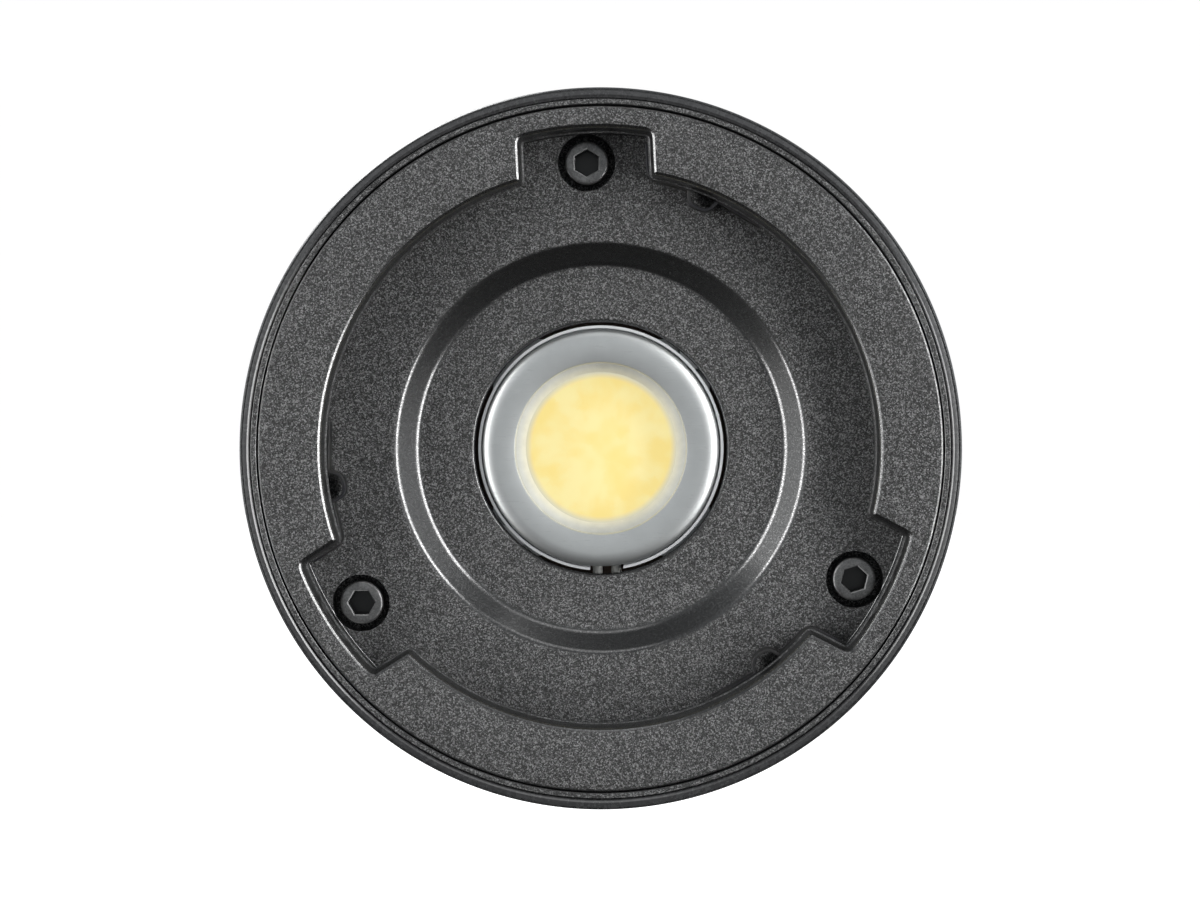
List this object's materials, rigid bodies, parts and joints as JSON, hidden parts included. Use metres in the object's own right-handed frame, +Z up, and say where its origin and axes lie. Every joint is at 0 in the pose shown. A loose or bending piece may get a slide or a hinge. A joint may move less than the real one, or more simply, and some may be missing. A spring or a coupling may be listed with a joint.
{
  "type": "led spotlight head",
  "caption": "Compact round LED spotlight head with a bayonet front for a fresnel or reflector, a tilting yoke and a light-stand stud receiver.",
  "frame": {"origin": "centre of the bayonet ring's front face, on the optical axis", "axes": "the light leaves towards -Y, +Y runs back through the body, +Z is up"},
  "size_m": [0.0996, 0.1796, 0.09],
  "materials": {
    "powder_coat": "fine textured black powder coat",
    "rim_black": "smooth satin black",
    "spring_steel": "blued spring steel",
    "black_oxide": "black oxide screws",
    "spun_aluminium": "spun and brightened",
    "bare_aluminium": "bare",
    "white_silicone": "white silicone",
    "phosphor": "yellow silicone phosphor",
    "holder_white": "white plastic",
    "thermal_pad": "grey pad",
    "copper": "copper",
    "brass": "turned",
    "steel": "plain",
    "black_plastic": "fine matte",
    "board_green": "solder mask",
    "part_dark": "moulded parts",
    "lead_silicone": "pale grey silicone lead",
    "window": "smoked window",
    "knob_rubber": "soft touch",
    "nylon": "natural nylon"
  },
  "bodies": {
    "yoke": {"yoke": "powder_coat", "stud_receiver": "bare_aluminium", "receiver_bolt": "black_oxide"},
    "head": {"bayonet_ring": "powder_coat", "front_casting": "powder_coat", "light_well": "powder_coat", "trim_collar": "rim_black", "face_screws": "black_oxide", "ring_screws": "black_oxide", "led_cap": "spun_aluminium", "cob_holder": "holder_white", "cob_dam": "white_silicone", "cob_phosphor": "phosphor", "cob_substrate": "bare_aluminium", "cob_screws": "steel", "thermal_pad": "thermal_pad", "heat_spreader": "copper", "spreader_screws": "steel", "heatsink": "bare_aluminium", "heatsink_screws": "steel", "fan_standoffs": "brass", "fan_frame": "black_plastic", "fan_bearing": "brass", "fan_stator": "copper", "fan_lead": "lead_silicone", "led_leads": "lead_silicone", "board_posts": "brass", "board_bolts": "steel", "driver_board": "board_green", "driver_parts": "part_dark", "board_link": "part_dark", "control_board": "board_green", "barrel_shell": "powder_coat", "pivot_inserts": "brass", "pivot_washers": "nylon", "pivot_bolt": "black_oxide", "rear_cover": "black_plastic", "rear_screws": "black_oxide", "display_window": "window", "display_module": "part_dark", "encoder_bodies": "steel", "button_switch": "part_dark", "rocker_frame": "black_plastic", "dc_socket": "black_plastic", "usb_socket": "steel"},
    "tilt_knob": {"tilt_lock_knob": "knob_rubber", "tilt_lock_stud": "steel"},
    "receiver_knob": {"receiver_lock_knob": "knob_rubber", "receiver_lock_screw": "steel"},
    "fan": {"fan_rotor": "black_plastic", "fan_shaft": "steel"},
    "brightness_control": {"brightness_dial": "knob_rubber", "brightness_shaft": "steel"},
    "colour_control": {"colour_dial": "knob_rubber", "colour_shaft": "steel"},
    "mode_button": {"mode_button": "knob_rubber"},
    "power_rocker": {"power_rocker": "black_plastic"},
    "detent_top": {"detent_spring_top": "spring_steel"},
    "detent_left": {"detent_spring_left": "spring_steel"},
    "detent_right": {"detent_spring_right": "spring_steel"}
  },
  "joints": [
    {"name": "head_tilt", "type": "hinge", "parent": "yoke", "child": "head", "pos_m": [0, 0.062, 0], "axis": [1, 0, 0], "range_deg": [-135, 135]},
    {"name": "tilt_lock_turn", "type": "hinge", "parent": "head", "child": "tilt_knob", "pos_m": [0.0457, 0.062, 0], "axis": [1, 0, 0], "range_deg": [0, 270]},
    {"name": "receiver_lock_turn", "type": "hinge", "parent": "yoke", "child": "receiver_knob", "pos_m": [0.017, 0.16611, 0], "axis": [1, 0, 0], "range_deg": [0, 330]},
    {"name": "fan_spin", "type": "hinge", "parent": "head", "child": "fan", "pos_m": [0, 0.07, 0], "axis": [0, 1, 0], "continuous": true},
    {"name": "brightness_turn", "type": "hinge", "parent": "head", "child": "brightness_control", "pos_m": [-0.016, 0.122, -0.002], "axis": [0, 1, 0], "continuous": true},
    {"name": "colour_turn", "type": "hinge", "parent": "head", "child": "colour_control", "pos_m": [0.016, 0.122, -0.002], "axis": [0, 1, 0], "continuous": true},
    {"name": "mode_press", "type": "slide", "parent": "head", "child": "mode_button", "axis": [0, -1, 0], "range_m": [0, 0.0008], "stiffness_N_per_m": 300},
    {"name": "power_rock", "type": "hinge", "parent": "head", "child": "power_rocker", "pos_m": [-0.017, 0.1214, -0.024], "axis": [-1, 0, 0], "range_deg": [0, 16]},
    {"name": "detent_top_flex", "type": "hinge", "parent": "head", "child": "detent_top", "pos_m": [0.00706, 0.0029, 0.03483], "axis": [0, -1, 0], "range_deg": [0, 5], "stiffness_Nm_per_rad": 0.3},
    {"name": "detent_left_flex", "type": "hinge", "parent": "head", "child": "detent_left", "pos_m": [-0.03369, 0.0029, -0.0113], "axis": [0, -1, 0], "range_deg": [0, 5], "stiffness_Nm_per_rad": 0.3},
    {"name": "detent_right_flex", "type": "hinge", "parent": "head", "child": "detent_right", "pos_m": [0.02663, 0.0029, -0.02352], "axis": [0, -1, 0], "range_deg": [0, 5], "stiffness_Nm_per_rad": 0.3}
  ]
}
